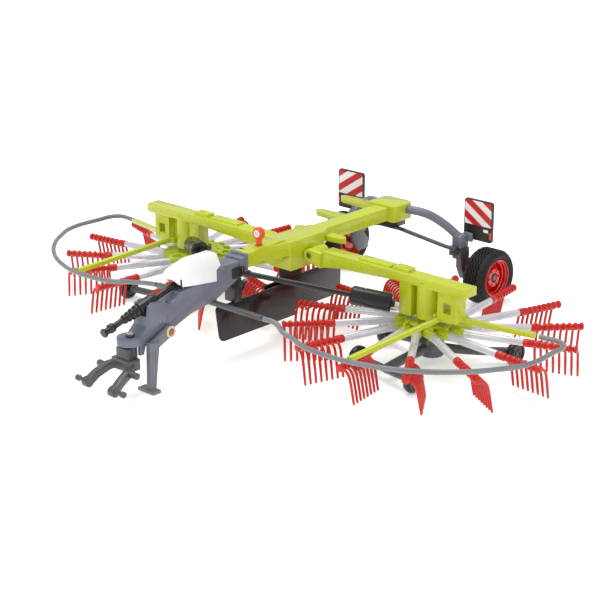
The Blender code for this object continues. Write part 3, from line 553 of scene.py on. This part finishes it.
for side, sign in sides.items():
    body = side + "_wheel"
    makePiece(side + "_tread", makeTyre(sign), finish["tyreRubber"], body, "rubber", side + "_tyre")
    makePiece(side + "_wheelRim", makeRim(sign), finish["rimRed"], body, "red", side + "_rim")
    makePiece(side + "_axleCap", makeAxleCap(sign), finish["graphite"], body, "dark")
print("stage: rear wheels ready")


# Small wheels under the rotors, with places counted from the rotor axis
smallWheel = dict(radius=8.5, width=6.0, bore=1.65,
                  places=[(-27.0, -44.0), (24.0, -50.0), (45.0, 32.0), (-44.0, 6.0)])


def makeSmallWheel(index, sign):
    x, y = smallWheel["places"][index]
    r, w, bore = smallWheel["radius"], smallWheel["width"], smallWheel["bore"]
    turn = 1 if x > 0 else -1
    profile = [(bore, 0.5), (3.0, 0.4), (3.3, 0.9), (5.4, 0.9), (5.8, 0.2), (6.6, 0.0), (7.6, 0.5),
               (8.2, 1.3), (r, 2.3), (r, w - 2.3), (8.2, w - 1.3), (7.6, w - 0.5), (6.6, w), (5.8, w - 0.2),
               (5.4, w - 0.9), (3.3, w - 0.9), (3.0, w - 0.4), (bore, w - 0.5)]
    start = (rotor["axisX"] + x - turn * w / 2, y, r)
    return onSide(spun(profile, start, (turn, 0, 0), 48), sign)


for side, sign in sides.items():
    for index in range(4):
        name = side + "_rotor_wheel_" + str(index + 1)
        makePiece(name + "_tyre", makeSmallWheel(index, sign), finish["black"], name, "black", name)
print("stage: rotor wheels ready")


# Guard hoops, axle, shafts and gear cup
hoop = dict(radius=1.7, z=36.0, sweepRadius=107.5,
            innerEnd={"left": [(50, -99, 42.6), (61, -99, 42), (68, -99.6, 37.6), (78, -100.6, 36)],
                      "right": [(50, -99, 42.6), (60, -99.4, 41.4), (70, -100.2, 39.9),
                                (79, -101.4, 38.6)]})
axle = dict(radius=3.2, path=[(13.4, 94.4, 66.4), (16.5, 94.5, 66.4), (23, 96.6, 65.9), (30, 100, 63.6),
                              (38, 103.6, 59), (44, 107, 53.8), (49.5, 110.6, 47.5)])
inputShaft = dict(start=(0, -114.0, 66.0), end=(0, -191.0, 45.2), ribs=[4.1, 3.8, 3.4, 3.0])
driveShaft = dict(start=(9.6, -74.6, 58.4), end=(94.0, -22.9, 43.8))
gearCup = dict(y=-77.6, radius=8.9, low=54.6, top=62.6, flutes=26)


def makeHoop(side):
    x, z = rotor["axisX"], hoop["z"]
    points = list(hoop["innerEnd"][side])
    last = points[-1][2] - z
    for step, degrees in enumerate((-103, -92, -80, -68, -56, -44, -32, -20)):
        angle = math.radians(degrees)
        fall = last * max(0, 1 - (step + 1) / 3)
        points.append((x + hoop["sweepRadius"] * math.cos(angle), hoop["sweepRadius"] * math.sin(angle),
                       z + fall))
    points = points + [(x + 101.5, -8, z), (x + 101.0, 1.5, z), (x + 97.5, 7.2, z), (190.8, 6.9, z + 0.6)]
    return onSide(tubeAlong(points, hoop["radius"], None, 5, 6), sides[side])


def makeAxle(sign):
    tubeBody = tubeAlong(axle["path"], axle["radius"], None, 6, 6)
    clevis = block((45.6, 105.2, 41.6), (53.6, 115.4, 51.0), 0.9)
    stay = block((49.5, 113.2, 46), (57.5, 115.7, 52.5), 0.6)
    lug = rod((46.4, 110.3, 47.4), (52.8, 110.3, 47.4), 4.2, steps=36, edge=0.6)
    return onSide(joined([tubeBody, clevis, stay, lug]), sign)


def makeInputShaft():
    start, end = Vector(inputShaft["start"]), Vector(inputShaft["end"])
    profile = [(0, 0), (1.8, 0), (2.1, 0.3), (2.1, 33.4), (2.6, 33.6), (3.6, 34.8), (4.1, 36.2), (4.3, 38),
               (4.3, 40.4), (4.05, 40.7), (4.05, 41.7), (4.3, 42), (4.3, 48.6), (3.9, 49.1)]
    at = 49.0
    for r in inputShaft["ribs"]:
        profile = profile + [(r - 0.75, at + 0.3), (r - 0.25, at + 0.75), (r, at + 1.4), (r, at + 2.2),
                             (r - 0.25, at + 2.9), (r - 0.75, at + 3.4)]
        at = at + 3.5
    profile = profile + [(2.0, 64), (2.0, 70.4), (2.7, 70.7), (3.1, 71.3), (3.1, 74.1), (2.8, 74.6),
                         (2.2, 75), (2.2, 77.4), (2.7, 77.7), (3.0, 78.2), (3.0, 79.5), (2.6, 79.9),
                         (0, 79.9)]
    return spun(profile, start, end - start, 48)


def makeDrive(sign):
    start, end = Vector(driveShaft["start"]), Vector(driveShaft["end"])
    length = (end - start).length
    bar = spun([(0, 0), (2.3, 0), (2.6, 0.3), (2.6, 3.3), (2.3, 3.8), (1.8, 4.4), (1.8, length - 20),
                (0, length - 20)], start, end - start, 36)
    a = length - 27.5
    sleeve = spun([(2.1, a), (5.2, a), (5.7, a + 0.3), (6.4, a + 1.2), (6.4, a + 8), (6.15, a + 8.3),
                   (6.15, a + 9.2), (6.4, a + 9.5), (6.4, length - 1.4), (6.1, length - 0.5), (5.4, length),
                   (2.6, length), (2.6, length + 2.2), (0, length + 2.2), (0, length - 19),
                   (2.1, length - 19)],
                  start, end - start, 60)
    return onSide(bar, sign), onSide(sleeve, sign)


def makeGearCup():
    low, high, r, y = gearCup["low"], gearCup["top"], gearCup["radius"], gearCup["y"]
    cup = spun([(0, low), (r - 2.2, low), (r - 1.1, low + 0.5), (r - 0.45, low + 1.4),
                (r - 0.35, low + 2.8),
                (r - 0.35, high - 0.9), (r, high - 0.7), (r, high - 0.3), (r - 0.3, high), (0, high)],
               (0, y, 0), steps=66)
    parts = [cup, rod((0, y, 50), (0, y, low + 1), 3.0)]
    for k in range(gearCup["flutes"]):
        angle = 2 * math.pi * k / gearCup["flutes"]
        x, rear = (r - 0.55) * math.cos(angle), y + (r - 0.55) * math.sin(angle)
        parts.append(rod((x, rear, low + 1.7), (x, rear, high - 0.8), 0.5, steps=8, edge=0.12))
    parts.append(block((-5, -79.2, 37.1), (5, -72.2, 53.4), 0.6))
    return joined(parts)


for side, sign in sides.items():
    makePiece(side + "_guardHoop", makeHoop(side), finish["hoopGrey"], side + "_arm", "grey",
              side + "_hoop")
    makePiece(side + "_axleTube", makeAxle(sign), finish["slate"], "frame", "slate", side + "_axle")
    bar, sleeve = makeDrive(sign)
    makePiece(side + "_driveBar", bar, finish["black"], side + "_drive", "black", side + "_drive_rod")
    makePiece(side + "_driveCover", sleeve, finish["black"], side + "_drive", "black",
              side + "_drive_sleeve")
makePiece("inputShaftCover", makeInputShaft(), finish["black"], "input", "black", "input_shaft")
makePiece("gearCup", makeGearCup(), finish["black"], "frame", "black", "gearbox")
print("stage: hoops, axle and shafts ready")


# Warning boards with slanting stripes
board = dict(lowX=48.2, highX=73.3, lowZ=47.4, highZ=77.8, frontY=115.8, rearY=118.2, corner=2.0,
             slope=0.66, firstStripe=64.2, pitch=11.6, stripesFrom=58.9, edge=0.75,
             red=(196, 16, 34), paper=(240, 238, 236), black=(22, 20, 20))


def makeBoardMaterial():
    look = dict(roughness=(0.3, 0.42), wear=0.3, bump=0.06)
    material, tree, shader, place, grain, wear = newMaterial("stripedBoard", look)
    split = tree.nodes.new("ShaderNodeSeparateXYZ")
    tree.links.new(place, split.inputs[0])
    across = mathNode(tree, "MULTIPLY", mathNode(tree, "ABSOLUTE", split.outputs["X"]), 1000)
    height = mathNode(tree, "MULTIPLY", split.outputs["Z"], 1000)
    slant = mathNode(tree, "MULTIPLY_ADD", mathNode(tree, "SUBTRACT", across, board["lowX"]),
                     board["slope"], height)
    phase = mathNode(tree, "DIVIDE", mathNode(tree, "SUBTRACT", slant, board["firstStripe"]),
                     board["pitch"])
    isRed = mathNode(tree, "LESS_THAN", mathNode(tree, "FRACT", phase), 0.5)
    striped = mixNode(tree, isRed, linear(*board["paper"]), linear(*board["red"]))
    # a black border all round and a black lower part
    lo, hi = board["lowX"] + board["edge"], board["highX"] - board["edge"]
    top = board["highZ"] - board["edge"]
    inside = mathNode(tree, "MULTIPLY", mathNode(tree, "GREATER_THAN", across, lo),
                      mathNode(tree, "LESS_THAN", across, hi))
    inside = mathNode(tree, "MULTIPLY", inside, mathNode(tree, "LESS_THAN", height, top))
    inside = mathNode(tree, "MULTIPLY", inside,
                      mathNode(tree, "GREATER_THAN", height, board["stripesFrom"]))
    printed = mixNode(tree, inside, linear(*board["black"]), striped)
    dusty = mixNode(tree, mathNode(tree, "MULTIPLY", grain.outputs["Tone"], 0.06), printed,
                    linear(150, 140, 128))
    worn = mixNode(tree, wear.outputs["Mask"], dusty, linear(120, 116, 112))
    tree.links.new(worn, shader.inputs["Base Color"])
    return material


def makeBoard(sign):
    bm = brick((board["lowX"], board["frontY"], board["lowZ"]),
               (board["highX"], board["rearY"], board["highZ"]))
    corners = [e for e in bm.edges if abs((e.verts[0].co - e.verts[1].co).y) > 1]
    roundEdges(bm, board["corner"], segments=5, edges=corners)
    roundEdges(bm, 0.3, 50)
    return onSide(bm, sign)


stripedBoard = makeBoardMaterial()
reflector = ((71.2, 115.4, 50.2), (73.0, 116.2, 55.4), 0.35)    # two corners and the edge radius
blankMark = ((65.8, 115.6, 54.7), (70.2, 116.0, 56.9), 0.15)
for side, sign in sides.items():
    makePiece(side + "_warningBoard", makeBoard(sign), stripedBoard, "frame", "white", side + "_board")
    makePiece(side + "_reflector", onSide(block(*reflector), sign), finish["leverOrange"], "frame",
              "orange")
    makePiece(side + "_blankMark", onSide(block(*blankMark), sign), finish["white"], "frame", "white")
print("stage: boards ready")


# Chassis under each rotor, lever, pins and caps
chassis = dict(foot=8.6, neck=7.0, spindle=3.5, axlePin=1.3, reach=4.3, z=8.5)
lever = dict(x=0, y=-50.5, z=78.5, radius=4.2, thick=4.0)
pins = dict(leg=(-143.0, 35.8), hitch=(0, -169, 39.2), hinge=(16.5, -18.5, 58.5), arm=(95.5, -9.8, 65.8))


def makeChassis(sign):
    x, z, reach = rotor["axisX"], chassis["z"], chassis["reach"]
    first, second, third, fourth = [(x + a, b) for a, b in smallWheel["places"]]
    parts = [spun([(0, 5.5), (chassis["foot"] - 1, 5.5), (chassis["foot"], 6.5), (chassis["foot"], 14.4),
                   (chassis["foot"] - 0.5, 15.6), (chassis["neck"] + 0.5, 17.4), (chassis["neck"], 18.2),
                   (chassis["neck"], 23.9), (chassis["neck"] - 0.5, 24.4), (chassis["spindle"], 24.4),
                   (chassis["spindle"], 40), (0, 40)], (x, 0, 0), steps=64)]
    bars = [
        ([(x, -4, 11.5), (x - 1, -22, 10.6), (x - 1.5, -38, z + 0.6), (x - 1.5, -47.5, z)], 3.3),
        ([(first[0] + reach, first[1], z), (first[0] + reach + 6, first[1] - 0.5, z),
          (second[0] - reach - 6, second[1] + 0.5, z), (second[0] - reach, second[1], z)], 2.5),
        ([(x + 3, 2, 11), (x + 24, 16, 9.6), (third[0] - reach - 3, third[1] - 1.5, z),
          (third[0] - reach, third[1], z)], 2.9),
        ([(x - 3, 2, 11), (x - 24, 5, 9.6), (fourth[0] + reach + 3, fourth[1], z),
          (fourth[0] + reach, fourth[1], z)], 2.9),
    ]
    for path, radius in bars:
        parts.append(tubeAlong(path, radius, [1.15] + [1] * (len(path) - 2) + [0.95], 5, 8))
    for (wheelX, wheelY), turn in ((first, -1), (second, 1), (third, 1), (fourth, -1)):
        start, end = wheelX - turn * (reach + 2), wheelX + turn * (smallWheel["width"] / 2 - 0.6)
        parts.append(rod((start, wheelY, z), (end, wheelY, z), chassis["axlePin"], steps=20))
        parts.append(rod((start - turn, wheelY, z), (start + turn * 1.9, wheelY, z), 3.0, steps=28,
                         edge=0.5))
    return onSide(joined(parts), sign)


def makeLever():
    x, y, z, r, t = lever["x"], lever["y"], lever["z"], lever["radius"], lever["thick"]
    front, rear = y - t / 2, y + t / 2
    stem = block((-1.25, y - 2.1, 62), (1.25, y + 2.1, z - r + 1.2), 0.45)
    disc = spun([(0, 0), (r - 0.5, 0), (r - 0.15, 0.15), (r, 0.5), (r, t - 0.5), (r - 0.15, t - 0.15),
                 (r - 0.5, t), (2.7, t), (2.5, t - 0.5), (0, t - 0.5)], (x, rear, z), (0, -1, 0), 48)
    ring = spun([(1.5, 0), (2.45, 0), (2.45, 0.7), (2.2, 0.95), (1.7, 0.95), (1.5, 0.7)],
                (x, front + 0.5, z), (0, -1, 0), 40)
    centre = spun([(0, 0), (1.45, 0), (1.45, 0.6), (1.1, 0.95), (0, 1.1)], (x, front + 0.5, z), (0, -1, 0),
                  32)
    return joined([stem, disc]), ring, centre


def makeScrew(radius, start, direction, thick=0.7):
    return spun([(0, 0), (radius, 0), (radius, thick - 0.25), (radius - 0.25, thick),
                 (radius * 0.6, thick + 0.1), (radius * 0.45, thick - 0.3), (0, thick - 0.3)], start,
                 direction, 36)


for side, sign in sides.items():
    makePiece(side + "_wheelChassis", makeChassis(sign), finish["graphite"], side + "_arm", "dark",
              side + "_chassis")
body, ring, centre = makeLever()
makePiece("leverBody", body, finish["leverOrange"], "frame", "orange", "lever")
makePiece("leverRing", ring, finish["white"], "frame", "white")
makePiece("leverCentre", centre, finish["tubeSilver"], "frame", "grey")
pivotRing = spun([(2.5, 0), (3.9, 0), (3.9, 0.5), (3.6, 0.8), (2.8, 0.8), (2.5, 0.5)],
                 (10.1, *pins["leg"]), (1, 0, 0), 48)
makePiece("legPivotRing", pivotRing, finish["boneCream"], "leg", "grey")
pivotPin = makeScrew(2.5, (8.7, *pins["leg"]), (1, 0, 0), 1.9)
makePiece("legPivotPin", pivotPin, finish["copperTan"], "frame", "orange")
pinHead = makeScrew(2.35, pins["hitch"], (0, 0, 1), 0.6)
makePiece("hitchPinHead", pinHead, finish["boneCream"], "hitch", "grey")
for side, sign in sides.items():
    hinge = onSide(makeScrew(1.7, pins["hinge"], (0, -1, 0), 0.5), sign)
    makePiece(side + "_hingePin", hinge, finish["graphite"], "frame", "dark")
    boss = onSide(makeScrew(2.3, pins["arm"], (0, 0, 1), 0.7), sign)
    makePiece(side + "_armBoss", boss, finish["lime"], side + "_arm", "lime")
print("stage: chassis, lever and pins ready")


# Moulded frame pieces with rounded edges: finish, body and slot of each
moulded = {
    "drawbar": ("slate", "frame", "slate"),
    "hood": ("white", "frame", "white"),
    "hitch_fork": ("graphite", "hitch", "dark"),
    "support_leg": ("legGrey", "leg", "grey"),
    "cross_bar": ("graphite", "frame", "dark"),
    "centre_frame": ("lime", "frame", "lime"),
    "curtain_front": ("curtainBlack", "frame", "black"),
    "curtain_rear": ("curtainBlack", "frame", "black"),
    "steer_block": ("black", "frame", "black"),
    "tie_rod": ("graphite", "tie_rod", "dark"),
}
for side in sides:
    moulded[side + "_knuckle"] = ("graphite", side + "_knuckle", "dark")
    moulded[side + "_arm"] = ("lime", side + "_arm", "lime")
    moulded[side + "_bearing"] = ("black", side + "_arm", "black")
for name, (look, body, slot) in moulded.items():
    makePiece(name + "_moulding", softened(name), finish[look], body, slot, name)
print("stage: mouldings ready")
